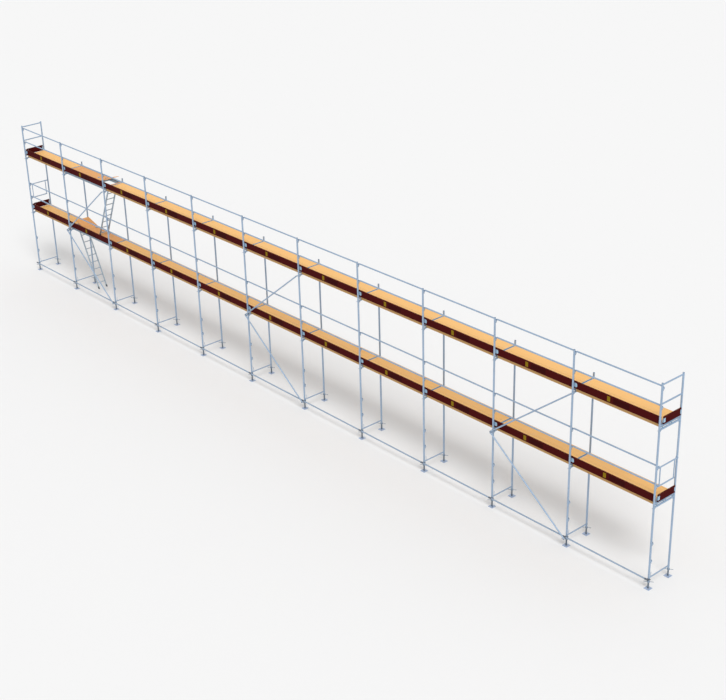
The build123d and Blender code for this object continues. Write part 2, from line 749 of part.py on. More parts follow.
# Everything, node by node

lines = list(enumerate(frame_lines, start=1))
ends = ((frame_lines[0], -1), (frame_lines[-1], 1))
plain_bays = [start for bay, start in enumerate(frame_lines[:-1], start=1) if bay != access_bay]

for number, x in lines:
    save(f"jack_front_{number:02d}", [jack(x, 0)])
    save(f"jack_rear_{number:02d}", [jack(x, frame_width)])
    save(f"frame_line_{number:02d}", sum([welded_frame(x, base) for base in joints[:-1]], []))

save("jack_nuts", [jack_nut(x, y) for x in frame_lines for y in (0.0, frame_width)])

deck_rows = (deck_front, deck_front + deck_width + deck_gap)
for name, joint in zip(("lower", "upper"), deck_joints):
    save(f"deck_boards_{name}", [deck_board(x, y, joint) for x in plain_bays for y in deck_rows])

fittings = []
for joint in deck_joints:
    for start in plain_bays:
        for y in deck_rows:
            fittings += [deck_end(x, y, deck_width, joint, turn, claw_places(y, turn))
                         for x, turn in ((start, 1), (start + bay_length, -1))]
    for x, turn in ((access_start, 1), (access_end, -1)):
        hooks = [y for row in deck_rows for y in claw_places(row, turn)]
        fittings.append(deck_end(x, deck_front, deck_span, joint, turn, hooks))
save("deck_claws", fittings)

both = range(lift_count)
save("access_deck_frames", [p for i in both for p in placed([access_frame()] + fixed_hinges(), i)])
save("access_deck_panels", [p for i in both for p in placed(access_panels(), i)])
save("hinge_pins", [p for i in both for p in placed(hinge_pins(), i)])
for level, name in enumerate(("lower", "upper")):
    save(f"hatch_lid_{name}", placed(opened(hatch_lid()), level))
    save(f"hatch_hinge_{name}", placed(opened(moving_hinges()), level))
    save(f"ladder_{name}", placed(ladder(0.0 if level else ladder_reach), level))

rail_places = [(start, joint + height) for joint in deck_joints for start in frame_lines[:-1]
               for height in (mid_rail_height, top_rail_height)]
save("guardrails", sum([guardrail(start, z) for start, z in rail_places], []))
save("guardrail_wedges", [wedge(x, joint + height) for joint in joints for x in frame_lines
                          for height in (mid_rail_height, top_rail_height)])
save("guardrail_posts", sum([guard_post(x, joints[-1]) for x in frame_lines[1:-1]], []))
save("end_guard_frames", sum([end_guard_frame(x, joints[-1]) for x, _ in ends], []))
save("double_end_guardrails", sum([end_guard(x, deck_joints[0], turn) for x, turn in ends], []))

save("toe_boards", [toe_board(start, joint) for joint in deck_joints for start in frame_lines[:-1]])
clips = [toe_clip(start, joint) for joint in deck_joints for start in frame_lines[:-1]]
for length, rear in ((end_clip_length, False), (end_clip_rear_length, True)):
    clips += [end_toe_clip(x, joint, turn, length, rear) for joint in deck_joints for x, turn in ends]
save("toe_board_clips", clips)
save("end_toe_boards", [end_toe_board(x, joint, turn) for joint in deck_joints for x, turn in ends])

save("base_ledgers", [ledger(start) for start in frame_lines[:-1]])
braces = [(bay, lift) for bay in braced_bays for lift in both]
save("diagonal_braces", [brace(bay, lift) for bay, lift in braces])
couplers = [base_coupler(x) for x in frame_lines]
for bay, lift in braces:
    couplers.append(brace_coupler(frame_lines[bay if lift == 0 else bay - 1], joints[lift]))
save("couplers", couplers)
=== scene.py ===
from math import cos, pi, radians, sin
import bmesh
import bpy
from mathutils import Matrix, Vector


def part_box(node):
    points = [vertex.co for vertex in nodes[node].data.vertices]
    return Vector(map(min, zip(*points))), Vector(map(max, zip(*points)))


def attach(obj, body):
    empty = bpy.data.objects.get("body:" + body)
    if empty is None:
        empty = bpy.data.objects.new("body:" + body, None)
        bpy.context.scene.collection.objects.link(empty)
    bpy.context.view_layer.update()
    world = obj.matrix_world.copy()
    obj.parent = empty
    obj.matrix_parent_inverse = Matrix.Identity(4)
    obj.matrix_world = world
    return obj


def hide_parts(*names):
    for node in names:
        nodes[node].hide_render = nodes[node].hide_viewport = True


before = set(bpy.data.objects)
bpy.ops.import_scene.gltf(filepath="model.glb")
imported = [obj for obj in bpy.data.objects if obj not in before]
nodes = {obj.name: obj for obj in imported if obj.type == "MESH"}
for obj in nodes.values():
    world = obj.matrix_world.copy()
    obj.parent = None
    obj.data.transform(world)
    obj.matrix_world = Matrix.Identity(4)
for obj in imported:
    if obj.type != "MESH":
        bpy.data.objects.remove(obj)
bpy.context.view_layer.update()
print("frame loaded:", len(nodes), "nodes")

frameNames = sorted(n for n in nodes if n.startswith("frame_line_"))
frameXs = [sum(c.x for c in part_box(n)) / 2 for n in frameNames]
bay = frameXs[1] - frameXs[0]
frameLow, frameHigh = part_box(frameNames[0])
tubeRadius = (frameHigh.x - frameLow.x) / 2
rearY = frameHigh.y - tubeRadius
base = frameLow.z
deckTops = [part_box("deck_boards_lower")[1].z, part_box("deck_boards_upper")[1].z]
lift = deckTops[1] - deckTops[0]
bases = [base, base + lift, base + 2 * lift]


def addNode(tree, kind, **settings):
    made = tree.nodes.new(kind)
    for name, value in settings.items():
        if name.startswith("in_"):
            made.inputs[int(name[3:])].default_value = value
        else:
            setattr(made, name, value)
    return made


def join(tree, source, target):
    tree.links.new(source, target)


def shaderGroup(name, inputs, outputs):
    group = bpy.data.node_groups.new(name, "ShaderNodeTree")
    for label, kind, value in inputs:
        socket = group.interface.new_socket(name=label, in_out="INPUT", socket_type=kind)
        if value is not None:
            socket.default_value = value
    for label, kind in outputs:
        group.interface.new_socket(name=label, in_out="OUTPUT", socket_type=kind)
    return group, addNode(group, "NodeGroupInput"), addNode(group, "NodeGroupOutput")


def mathNode(tree, operation, first, second=None, third=None, clamp=False):
    made = addNode(tree, "ShaderNodeMath", operation=operation, use_clamp=clamp)
    for index, value in enumerate((first, second, third)):
        if value is None:
            continue
        if isinstance(value, (int, float)):
            made.inputs[index].default_value = value
        else:
            join(tree, value, made.inputs[index])
    return made.outputs[0]


def mixColor(tree, factor, first, second, blend="MIX"):
    made = addNode(tree, "ShaderNodeMix", data_type="RGBA", blend_type=blend)
    for index, value in ((0, factor), (6, first), (7, second)):
        if isinstance(value, (int, float)):
            made.inputs[index].default_value = value
        elif isinstance(value, tuple):
            made.inputs[index].default_value = (*value, 1.0)
        else:
            join(tree, value, made.inputs[index])
    return made.outputs[2]


def mapRange(tree, value, low, high, toLow=0.0, toHigh=1.0):
    made = addNode(tree, "ShaderNodeMapRange", in_1=low, in_2=high, in_3=toLow, in_4=toHigh)
    join(tree, value, made.inputs[0])
    return made.outputs[0]


def stretch(tree, vector, scale, turn=(0.0, 0.0, 0.0)):
    made = addNode(tree, "ShaderNodeMapping")
    made.inputs["Scale"].default_value = scale
    made.inputs["Rotation"].default_value = turn
    join(tree, vector, made.inputs["Vector"])
    return made.outputs[0]


def noise(tree, vector, scale, detail=3.0, roughness=0.5):
    made = addNode(tree, "ShaderNodeTexNoise")
    made.inputs["Scale"].default_value = scale
    made.inputs["Detail"].default_value = detail
    made.inputs["Roughness"].default_value = roughness
    join(tree, vector, made.inputs["Vector"])
    return made.outputs["Fac"]


colorKind, floatKind, vectorKind = "NodeSocketColor", "NodeSocketFloat", "NodeSocketVector"


def zincCoatGroup():
    # Hot-dip zinc: crystal spangle over slow clouding, with drain streaks down the tube
    group, start, end = shaderGroup("zincCoat", [
        ("Vector", vectorKind, None), ("Light", colorKind, (0.5, 0.6, 0.72, 1)),
        ("Dark", colorKind, (0.3, 0.4, 0.5, 1)),
        ("Spangle Scale", floatKind, 95.0), ("Cloud Scale", floatKind, 3.0),
        ("Roughness Low", floatKind, 0.36), ("Roughness High", floatKind, 0.58)],
        [("Color", colorKind), ("Roughness", floatKind), ("Height", floatKind)])
    crystal = addNode(group, "ShaderNodeTexVoronoi", feature="F1")
    join(group, start.outputs["Vector"], crystal.inputs["Vector"])
    join(group, start.outputs["Spangle Scale"], crystal.inputs["Scale"])
    parts = addNode(group, "ShaderNodeSeparateColor")
    join(group, crystal.outputs["Color"], parts.inputs[0])
    cloud = addNode(group, "ShaderNodeTexNoise")
    cloud.inputs["Detail"].default_value = 5.0
    join(group, start.outputs["Vector"], cloud.inputs["Vector"])
    join(group, start.outputs["Cloud Scale"], cloud.inputs["Scale"])
    streak = noise(group, stretch(group, start.outputs["Vector"], (60.0, 60.0, 2.2)), 1.0, 2.0)
    tone = mathNode(group, "MULTIPLY", parts.outputs[0], 0.34)
    tone = mathNode(group, "MULTIPLY_ADD", cloud.outputs["Fac"], 0.55, tone)
    tone = mathNode(group, "MULTIPLY_ADD", streak, 0.3, tone)
    tone = mapRange(group, tone, 0.3, 0.85)
    color = mixColor(group, tone, start.outputs["Dark"], start.outputs["Light"])
    rough = addNode(group, "ShaderNodeMapRange", in_1=0.0, in_2=1.0)
    streaks = mathNode(group, "MULTIPLY", streak, 0.4)
    join(group, mathNode(group, "MULTIPLY_ADD", parts.outputs[1], 0.6, streaks), rough.inputs[0])
    join(group, start.outputs["Roughness Low"], rough.inputs[3])
    join(group, start.outputs["Roughness High"], rough.inputs[4])
    join(group, color, end.inputs["Color"])
    join(group, rough.outputs[0], end.inputs["Roughness"])
    swell = mathNode(group, "MULTIPLY", cloud.outputs["Fac"], 0.6)
    join(group, mathNode(group, "MULTIPLY_ADD", parts.outputs[2], 0.4, swell), end.inputs["Height"])
    return group


def grimeGroup():
    # Splashed dirt near the ground and cement dust in patches higher up
    group, start, end = shaderGroup("siteGrime", [
        ("Vector", vectorKind, None), ("Splash Height", floatKind, 0.55), ("Patchiness", floatKind, 0.5)],
        [("Mask", floatKind)])
    parts = addNode(group, "ShaderNodeSeparateXYZ")
    join(group, start.outputs["Vector"], parts.inputs[0])
    patch = noise(group, start.outputs["Vector"], 7.0, 6.0, 0.65)
    fine = noise(group, start.outputs["Vector"], 60.0, 3.0, 0.6)
    fade = mathNode(group, "DIVIDE", parts.outputs[2], start.outputs["Splash Height"])
    fade = mathNode(group, "SUBTRACT", 1.0, fade, clamp=True)
    splash = mathNode(group, "MULTIPLY", fade, mapRange(group, fine, 0.4, 0.65))
    patches = mathNode(group, "MULTIPLY", mapRange(group, patch, 0.56, 0.75), start.outputs["Patchiness"])
    join(group, mathNode(group, "MAXIMUM", splash, patches, clamp=True), end.inputs["Mask"])
    return group


def woodGrainGroup():
    # Rotary-cut grain that runs along X, with a different cut and tint for every board
    group, start, end = shaderGroup("woodGrain", [
        ("Vector", vectorKind, None), ("Light", colorKind, (0.9, 0.6, 0.3, 1)),
        ("Dark", colorKind, (0.6, 0.35, 0.15, 1)),
        ("Board Length", floatKind, 2.5), ("Board Width", floatKind, 0.324),
        ("Board Start", floatKind, 0.076), ("Contrast", floatKind, 0.6)],
        [("Color", colorKind), ("Roughness", floatKind), ("Height", floatKind), ("Seam", floatKind)])
    parts = addNode(group, "ShaderNodeSeparateXYZ")
    join(group, start.outputs["Vector"], parts.inputs[0])
    across = mathNode(group, "SUBTRACT", parts.outputs[1], start.outputs["Board Start"])
    baysAlong = mathNode(group, "DIVIDE", parts.outputs[0], start.outputs["Board Length"])
    boardsAcross = mathNode(group, "DIVIDE", across, start.outputs["Board Width"])
    boardX = mathNode(group, "FLOOR", baysAlong)
    boardY = mathNode(group, "FLOOR", boardsAcross)
    level = mathNode(group, "FLOOR", mathNode(group, "MULTIPLY", parts.outputs[2], 0.5))
    cell = addNode(group, "ShaderNodeCombineXYZ")
    for index, value in enumerate((boardX, boardY, level)):
        join(group, value, cell.inputs[index])
    chance = addNode(group, "ShaderNodeTexWhiteNoise", noise_dimensions="3D")
    join(group, cell.outputs[0], chance.inputs["Vector"])
    shift = addNode(group, "ShaderNodeVectorMath", operation="MULTIPLY_ADD")
    join(group, chance.outputs["Color"], shift.inputs[0])
    shift.inputs[1].default_value = (9.0, 5.0, 3.0)
    join(group, start.outputs["Vector"], shift.inputs[2])
    long = stretch(group, shift.outputs[0], (0.55, 9.0, 9.0))
    warp = noise(group, long, 1.6, 4.0, 0.55)
    rings = addNode(group, "ShaderNodeTexWave", wave_type="BANDS", bands_direction="Y", wave_profile="SIN")
    for name, value in (("Scale", 1.6), ("Distortion", 7.0), ("Detail", 3.0), ("Detail Scale", 1.1)):
        rings.inputs[name].default_value = value
    join(group, long, rings.inputs["Vector"])
    pores = noise(group, stretch(group, shift.outputs[0], (6.0, 260.0, 260.0)), 1.0, 2.0, 0.6)
    tone = mathNode(group, "MULTIPLY", rings.outputs["Fac"], 0.38)
    tone = mathNode(group, "MULTIPLY_ADD", warp, 0.5, tone)
    tone = mathNode(group, "MULTIPLY_ADD", pores, 0.22, tone)
    tone = mathNode(group, "MULTIPLY_ADD", chance.outputs["Value"], 0.2, tone)
    tone = mathNode(group, "SUBTRACT", tone, 0.62)
    tone = mathNode(group, "MULTIPLY_ADD", tone, start.outputs["Contrast"], 0.62, clamp=True)
    color = mixColor(group, tone, start.outputs["Dark"], start.outputs["Light"])
    inside = mathNode(group, "FRACT", boardsAcross)
    edge = mathNode(group, "ABSOLUTE", mathNode(group, "SUBTRACT", inside, 0.5))
    fromRib = mathNode(group, "ABSOLUTE", mathNode(group, "SUBTRACT", edge, 0.405))
    seam = mapRange(group, fromRib, 0.004, 0.009, 1.0, 0.0)
    join(group, color, end.inputs["Color"])
    join(group, mapRange(group, pores, 0.3, 0.7, 0.62, 0.44), end.inputs["Roughness"])
    ringHeight = mathNode(group, "MULTIPLY", rings.outputs["Fac"], 0.5)
    join(group, mathNode(group, "MULTIPLY_ADD", pores, 0.5, ringHeight), end.inputs["Height"])
    join(group, seam, end.inputs["Seam"])
    return group


def bandGroup():
    # 1 inside a stretch of one coordinate and 0 outside it, with soft ends
    group, start, end = shaderGroup("bandMask", [
        ("Value", floatKind, 0.0), ("Low", floatKind, 0.0), ("High", floatKind, 1.0),
        ("Softness", floatKind, 0.002)],
        [("Mask", floatKind)])
    value, low, high, softness = (start.outputs[k] for k in ("Value", "Low", "High", "Softness"))
    rise = mathNode(group, "DIVIDE", mathNode(group, "SUBTRACT", value, low), softness, clamp=True)
    fall = mathNode(group, "DIVIDE", mathNode(group, "SUBTRACT", high, value), softness, clamp=True)
    join(group, mathNode(group, "MINIMUM", rise, fall), end.inputs["Mask"])
    return group


zincCoat, siteGrime, woodGrain, bandMask = zincCoatGroup(), grimeGroup(), woodGrainGroup(), bandGroup()
print("shared effects ready")


def newMaterial(name, metallic=0.0, specular=0.5, coat=0.0):
    material = bpy.data.materials.new(name)
    material.use_nodes = True
    tree = material.node_tree
    shader = tree.nodes["Principled BSDF"]
    shader.inputs["Metallic"].default_value = metallic
    shader.inputs["Specular IOR Level"].default_value = specular
    shader.inputs["Coat Weight"].default_value = coat
    coords = addNode(tree, "ShaderNodeTexCoord").outputs["Object"]
    return material, tree, shader, coords


def place(tree, group, **values):
    made = addNode(tree, "ShaderNodeGroup", node_tree=group)
    for name, value in values.items():
        socket = made.inputs[name.replace("_", " ")]
        if isinstance(value, (int, float)):
            socket.default_value = value
        elif isinstance(value, tuple):
            socket.default_value = (*value, 1.0)
        else:
            join(tree, value, socket)
    return made


def bump(tree, shader, height, distance, strength=0.6):
    made = addNode(tree, "ShaderNodeBump")
    made.inputs["Strength"].default_value = strength
    made.inputs["Distance"].default_value = distance
    join(tree, height, made.inputs["Height"])
    join(tree, made.outputs[0], shader.inputs["Normal"])


def zincMaterial(name, light, dark, metallic=0.35, spangle=95.0, cloud=3.0, grime=0.35):
    dirt = (0.32, 0.29, 0.25)
    material, tree, shader, coords = newMaterial(name, metallic)
    coat = place(tree, zincCoat, Vector=coords, Light=light, Dark=dark,
                 Spangle_Scale=spangle, Cloud_Scale=cloud)
    soil = place(tree, siteGrime, Vector=coords, Patchiness=grime)
    mask = mathNode(tree, "MULTIPLY", soil.outputs[0], 0.5)
    join(tree, mixColor(tree, mask, coat.outputs["Color"], dirt), shader.inputs["Base Color"])
    rough = mathNode(tree, "MULTIPLY_ADD", mask, 0.3, coat.outputs["Roughness"])
    join(tree, rough, shader.inputs["Roughness"])
    bump(tree, shader, coat.outputs["Height"], 0.0004)
    return material


zinc = {"tubeLight": (0.38, 0.50, 0.66), "tubeDark": (0.26, 0.36, 0.49),
        "sheetLight": (0.42, 0.60, 0.75), "sheetDark": (0.28, 0.43, 0.56),
        "castLight": (0.30, 0.40, 0.53), "castDark": (0.15, 0.21, 0.29),
        "couplerLight": (0.17, 0.21, 0.27), "couplerDark": (0.07, 0.09, 0.12),
        "pinLight": (0.55, 0.60, 0.66), "pinDark": (0.38, 0.42, 0.47),
        "weldLight": (0.38, 0.48, 0.60), "weldDark": (0.22, 0.30, 0.40)}
tubeZinc = zincMaterial("galvanisedTube", zinc["tubeLight"], zinc["tubeDark"])
sheetZinc = zincMaterial("pressedZincSheet", zinc["sheetLight"], zinc["sheetDark"], spangle=60.0, grime=0.2)
castZinc = zincMaterial("galvanisedCasting", zinc["castLight"], zinc["castDark"], spangle=220.0, cloud=14.0)
darkCasting = zincMaterial("darkCouplerCasting", zinc["couplerLight"], zinc["couplerDark"],
                           spangle=260.0, cloud=18.0)
pinSteel = zincMaterial("platedPin", zinc["pinLight"], zinc["pinDark"], metallic=0.8, spangle=400.0)
weldMetal = zincMaterial("galvanisedWeld", zinc["weldLight"], zinc["weldDark"], spangle=300.0, cloud=60.0)


def jackMaterial():
    # Plate in bright zinc and a darker thread; both are one piece, so height tells them apart
    material, tree, shader, coords = newMaterial("screwJack", 0.4)
    settings = {"plateTop": 0.011, "plateLight": (0.50, 0.62, 0.84), "plateDark": (0.36, 0.47, 0.66),
                "threadLight": (0.16, 0.22, 0.29), "threadDark": (0.075, 0.11, 0.15)}
    parts = addNode(tree, "ShaderNodeSeparateXYZ")
    join(tree, coords, parts.inputs[0])
    bright = place(tree, zincCoat, Vector=coords, Light=settings["plateLight"], Dark=settings["plateDark"],
                   Cloud_Scale=9.0)
    dark = place(tree, zincCoat, Vector=coords, Light=settings["threadLight"], Dark=settings["threadDark"],
                 Spangle_Scale=300.0, Cloud_Scale=30.0)
    onPlate = mathNode(tree, "LESS_THAN", parts.outputs[2], settings["plateTop"])
    soil = place(tree, siteGrime, Vector=coords, Splash_Height=0.2, Patchiness=0.4)
    color = mixColor(tree, onPlate, dark.outputs["Color"], bright.outputs["Color"])
    dirty = mathNode(tree, "MULTIPLY", soil.outputs[0], 0.4)
    join(tree, mixColor(tree, dirty, color, (0.30, 0.27, 0.23)), shader.inputs["Base Color"])
    rough = mathNode(tree, "MULTIPLY_ADD", dirty, 0.4, dark.outputs["Roughness"])
    join(tree, rough, shader.inputs["Roughness"])
    bump(tree, shader, dark.outputs["Height"], 0.0004)
    return material


def timberMaterial(name, light, dark, contrast, start, width, film):
    # boards in the deck's own grid; the sides and underside below the top face are darkened as painted shade
    material, tree, shader, coords = newMaterial(name, 0.0, 0.15)
    sideShade, faceDepth = (0.60, 0.60, 0.62), 0.0012
    grain = place(tree, woodGrain, Vector=coords, Light=light, Dark=dark, Board_Length=bay, Board_Width=width,
                  Board_Start=start, Contrast=contrast)
    scuff = noise(tree, stretch(tree, coords, (1.2, 5.0, 5.0)), 3.0, 6.0, 0.7)
    worn = mapRange(tree, scuff, 0.55, 0.78, 0.0, 0.35)
    color = mixColor(tree, worn, grain.outputs["Color"], (0.62, 0.55, 0.46))
    seam = mathNode(tree, "MULTIPLY", grain.outputs["Seam"], 0.4)
    color = mixColor(tree, seam, color, (0.35, 0.2, 0.08))
    # painted shade: on the plain decks, every face more than a hair below the top face is multiplied by a
    # grey tint
    if not film:
        parts = addNode(tree, "ShaderNodeSeparateXYZ")
        join(tree, coords, parts.inputs[0])
        aboveFace = mathNode(tree, "SUBTRACT", parts.outputs[2], deckTops[0] - faceDepth)
        level = mathNode(tree, "DIVIDE", aboveFace, lift)
        shadedSide = mathNode(tree, "GREATER_THAN", mathNode(tree, "FRACT", level), faceDepth * 2 / lift)
        color = mixColor(tree, shadedSide, color, mixColor(tree, 1.0, color, sideShade, "MULTIPLY"))
    join(tree, color, shader.inputs["Base Color"])
    rough = mathNode(tree, "MULTIPLY_ADD", worn, 0.4, grain.outputs["Roughness"])
    join(tree, rough, shader.inputs["Roughness"])
    height = mathNode(tree, "MULTIPLY", grain.outputs["Height"], 0.6)
    if film:
        # the pressed wire-mesh face of anti-slip plywood
        mesh = addNode(tree, "ShaderNodeTexVoronoi", feature="DISTANCE_TO_EDGE")
        mesh.inputs["Scale"].default_value = 160.0
        mesh.inputs["Randomness"].default_value = 0.15
        join(tree, coords, mesh.inputs["Vector"])
        height = mathNode(tree, "ADD", height, mapRange(tree, mesh.outputs["Distance"], 0.02, 0.12))
    bump(tree, shader, height, 0.0006, 0.5)
    return material


def toeBoardMaterial():
    # Dark maroon paint with wood showing at the worn edges, a plain length band and a darker panel
    material, tree, shader, coords = newMaterial("toeBoardPaint", 0.0, 0.03)
    board = {"paint": (0.048, 0.0030, 0.0032), "paintLight": (0.078, 0.0058, 0.0062),
             "bandStart": 0.985, "bandEnd": 1.075, "band": (0.25, 0.16, 0.008), "markInset": 0.03,
             "panelStart": 1.16, "panelEnd": 1.63, "panel": (0.024, 0.0030, 0.0034)}
    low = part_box("toe_boards")[0].z
    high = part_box("toe_boards")[1].z - lift
    parts = addNode(tree, "ShaderNodeSeparateXYZ")
    join(tree, coords, parts.inputs[0])
    bayShare = mathNode(tree, "FRACT", mathNode(tree, "DIVIDE", parts.outputs[0], bay))
    alongBay = mathNode(tree, "MULTIPLY", bayShare, bay)
    aboveLow = mathNode(tree, "SUBTRACT", parts.outputs[2], low)
    level = mathNode(tree, "FLOOR", mathNode(tree, "DIVIDE", mathNode(tree, "ADD", aboveLow, 0.5), lift))
    upBoard = mathNode(tree, "SUBTRACT", aboveLow, mathNode(tree, "MULTIPLY", level, lift))
    front = mathNode(tree, "LESS_THAN", parts.outputs[1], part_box("toe_boards")[0].y + 0.002)
    stripe = place(tree, bandMask, Value=upBoard, Low=board["markInset"],
                   High=high - low - board["markInset"], Softness=0.0015)
    height = mathNode(tree, "MULTIPLY", front, stripe.outputs[0])
    band = place(tree, bandMask, Value=alongBay, Low=board["bandStart"], High=board["bandEnd"]).outputs[0]
    panel = place(tree, bandMask, Value=alongBay, Low=board["panelStart"], High=board["panelEnd"]).outputs[0]
    brush = noise(tree, stretch(tree, coords, (2.0, 40.0, 90.0)), 1.0, 4.0, 0.6)
    chips = noise(tree, coords, 85.0, 4.0, 0.7)
    color = mixColor(tree, brush, board["paint"], board["paintLight"])
    worn = mapRange(tree, noise(tree, coords, 22.0, 5.0, 0.7), 0.5, 0.62)
    onPanel = mathNode(tree, "MULTIPLY", height, panel)
    color = mixColor(tree, mathNode(tree, "MULTIPLY", onPanel, 0.6), color, board["panel"])
    onBand = mathNode(tree, "MULTIPLY", height, band)
    thin = mathNode(tree, "MULTIPLY", mapRange(tree, chips, 0.62, 0.7, 1.0, 0.0), onBand)
    color = mixColor(tree, thin, color, board["band"])
    top = mapRange(tree, upBoard, high - low - 0.004, high - low, 0.0, 1.0)
    bottom = mapRange(tree, upBoard, 0.0, 0.003, 1.0, 0.0)
    bare = mathNode(tree, "MULTIPLY", mathNode(tree, "MAXIMUM", top, bottom), worn)
    color = mixColor(tree, mathNode(tree, "MULTIPLY", bare, 0.5), color, (0.42, 0.25, 0.13))
    join(tree, color, shader.inputs["Base Color"])
    join(tree, mapRange(tree, brush, 0.3, 0.7, 0.55, 0.75), shader.inputs["Roughness"])
    relief = mathNode(tree, "MULTIPLY_ADD", brush, 0.6, mathNode(tree, "MULTIPLY", bare, -0.6))
    bump(tree, shader, relief, 0.0008, 0.5)
    return material


def aluminiumMaterial(name, light, dark, grainTurn=(0.0, 0.0, 0.0), feet=None):
    # Mill-finish extrusion with drawing lines along it; a ladder's feet are dark rubber
    material, tree, shader, coords = newMaterial(name, 0.55)
    lines = noise(tree, stretch(tree, coords, (3.0, 420.0, 420.0), grainTurn), 1.0, 2.0, 0.5)
    cloud = noise(tree, coords, 5.0, 5.0, 0.6)
    tone = mathNode(tree, "MULTIPLY_ADD", lines, 0.5, mathNode(tree, "MULTIPLY", cloud, 0.5))
    color = mixColor(tree, mapRange(tree, tone, 0.35, 0.65), dark, light)
    rough = mapRange(tree, lines, 0.3, 0.7, 0.36, 0.52)
    if feet:
        axis, limit = feet
        along = addNode(tree, "ShaderNodeVectorMath", operation="DOT_PRODUCT")
        along.inputs[1].default_value = axis
        join(tree, coords, along.inputs[0])
        onFoot = mathNode(tree, "GREATER_THAN", along.outputs["Value"], limit)
        grit = noise(tree, coords, 240.0, 3.0, 0.6)
        rubber = mixColor(tree, grit, (0.045, 0.060, 0.075), (0.10, 0.125, 0.15))
        color = mixColor(tree, onFoot, color, rubber)
        rough = mathNode(tree, "MULTIPLY_ADD", onFoot, 0.3, rough)
        shine = mapRange(tree, onFoot, 0.0, 1.0, 0.55, 0.0)
        join(tree, shine, shader.inputs["Metallic"])
    join(tree, color, shader.inputs["Base Color"])
    join(tree, rough, shader.inputs["Roughness"])
    bump(tree, shader, lines, 0.0003, 0.4)
    return material


screwJack = jackMaterial()
deckTimber = timberMaterial("deckTimber", light=(0.97, 0.57, 0.215), dark=(0.85, 0.47, 0.16),
                            contrast=0.55, start=0.076, width=0.324, film=False)
accessPly = timberMaterial("accessPlywood", light=(0.84, 0.42, 0.16), dark=(0.66, 0.31, 0.105),
                           contrast=0.55, start=0.10, width=0.62, film=True)
toePaint = toeBoardMaterial()
frameAluminium = aluminiumMaterial("deckFrameAluminium", (0.34, 0.42, 0.50), (0.22, 0.28, 0.34))

cadFinish = {
    "frame_line": tubeZinc, "guardrails": tubeZinc, "guardrail_posts": tubeZinc, "end_guard_frames": tubeZinc,
    "double_end_guardrails": tubeZinc, "base_ledgers": tubeZinc, "diagonal_braces": tubeZinc,
    "jack_nuts": castZinc, "guardrail_wedges": castZinc, "couplers": darkCasting,
    "deck_claws": sheetZinc, "toe_board_clips": sheetZinc, "hatch_hinge": sheetZinc, "hinge_pins": pinSteel,
    "deck_boards": deckTimber, "access_deck_frames": frameAluminium, "access_deck_panels": accessPly,
    "hatch_lid": accessPly, "toe_boards": toePaint, "end_toe_boards": toePaint}


def paintNode(name, material):
    mesh = nodes[name].data
    mesh.materials.clear()
    mesh.materials.append(material)


for name in nodes:
    for start, material in cadFinish.items():
        if name.startswith(start):
            paintNode(name, material)

ladderLook = {"lean": 24.5, "footLength": 0.078, "footMargin": 0.012,
              "light": (0.47, 0.56, 0.64), "dark": (0.33, 0.41, 0.48)}
for name, turn in (("ladder_lower", 1), ("ladder_upper", -1)):
    low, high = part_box(name)
    lean = radians(ladderLook["lean"])
    down = Vector((turn * sin(lean), 0.0, -cos(lean)))
    footEnd = Vector((high.x if turn > 0 else low.x, 0.0, low.z))
    limit = down.dot(footEnd) - ladderLook["footLength"] - ladderLook["footMargin"]
    paintNode(name, aluminiumMaterial(name + "Aluminium", ladderLook["light"], ladderLook["dark"],
                                      (0.0, turn * (lean - pi / 2), 0.0), (tuple(down), limit)))
print("materials on the frame nodes")


def geometryTree(name, inputs):
    tree = bpy.data.node_groups.new(name, "GeometryNodeTree")
    tree.interface.new_socket(name="Geometry", in_out="INPUT", socket_type="NodeSocketGeometry")
    for label, kind, value in inputs:
        socket = tree.interface.new_socket(name=label, in_out="INPUT", socket_type=kind)
        if value is not None:
            socket.default_value = value
    tree.interface.new_socket(name="Geometry", in_out="OUTPUT", socket_type="NodeSocketGeometry")
    return tree, addNode(tree, "NodeGroupInput"), addNode(tree, "NodeGroupOutput")


def finishTree(tree, start, end, geometry):
    real = addNode(tree, "GeometryNodeRealizeInstances")
    join(tree, geometry, real.inputs[0])
    paint = addNode(tree, "GeometryNodeSetMaterial")
    join(tree, real.outputs[0], paint.inputs["Geometry"])
    join(tree, start.outputs["Material"], paint.inputs["Material"])
    join(tree, paint.outputs[0], end.inputs[0])


def runTree(name, tree, mesh, values, material):
    # makes the tree's result into a plain mesh and drops the modifier
    maker = bpy.data.objects.new(name + "Maker", mesh)
    bpy.context.scene.collection.objects.link(maker)
    modifier = maker.modifiers.new("grow", "NODES")
    modifier.node_group = tree
    values = dict(values, Material=material)
    for item in tree.interface.items_tree:
        if item.item_type == "SOCKET" and item.in_out == "INPUT" and item.name in values:
            modifier[item.identifier] = values[item.name]
    bpy.context.view_layer.update()
    evaluated = maker.evaluated_get(bpy.context.evaluated_depsgraph_get())
    grown = bpy.data.meshes.new_from_object(evaluated)
    bpy.data.objects.remove(maker)
    piece = bpy.data.objects.new(name, grown)
    grown.name = name
    bpy.context.scene.collection.objects.link(piece)
    return piece


def pointMesh(name, points, facings, sizes):
    # a cloud of vertices that carries where each copy faces and how large it is
    mesh = bpy.data.meshes.new(name)
    mesh.from_pydata([tuple(p) for p in points], [], [])
    facing = mesh.attributes.new("facing", "FLOAT_VECTOR", "POINT")
    facing.data.foreach_set("vector", [c for f in facings for c in f])
    size = mesh.attributes.new("size", "FLOAT", "POINT")
    size.data.foreach_set("value", sizes)
    return mesh


def namedAttribute(tree, name, kind):
    made = addNode(tree, "GeometryNodeInputNamedAttribute", data_type=kind)
    made.inputs["Name"].default_value = name
    return made.outputs["Attribute"]


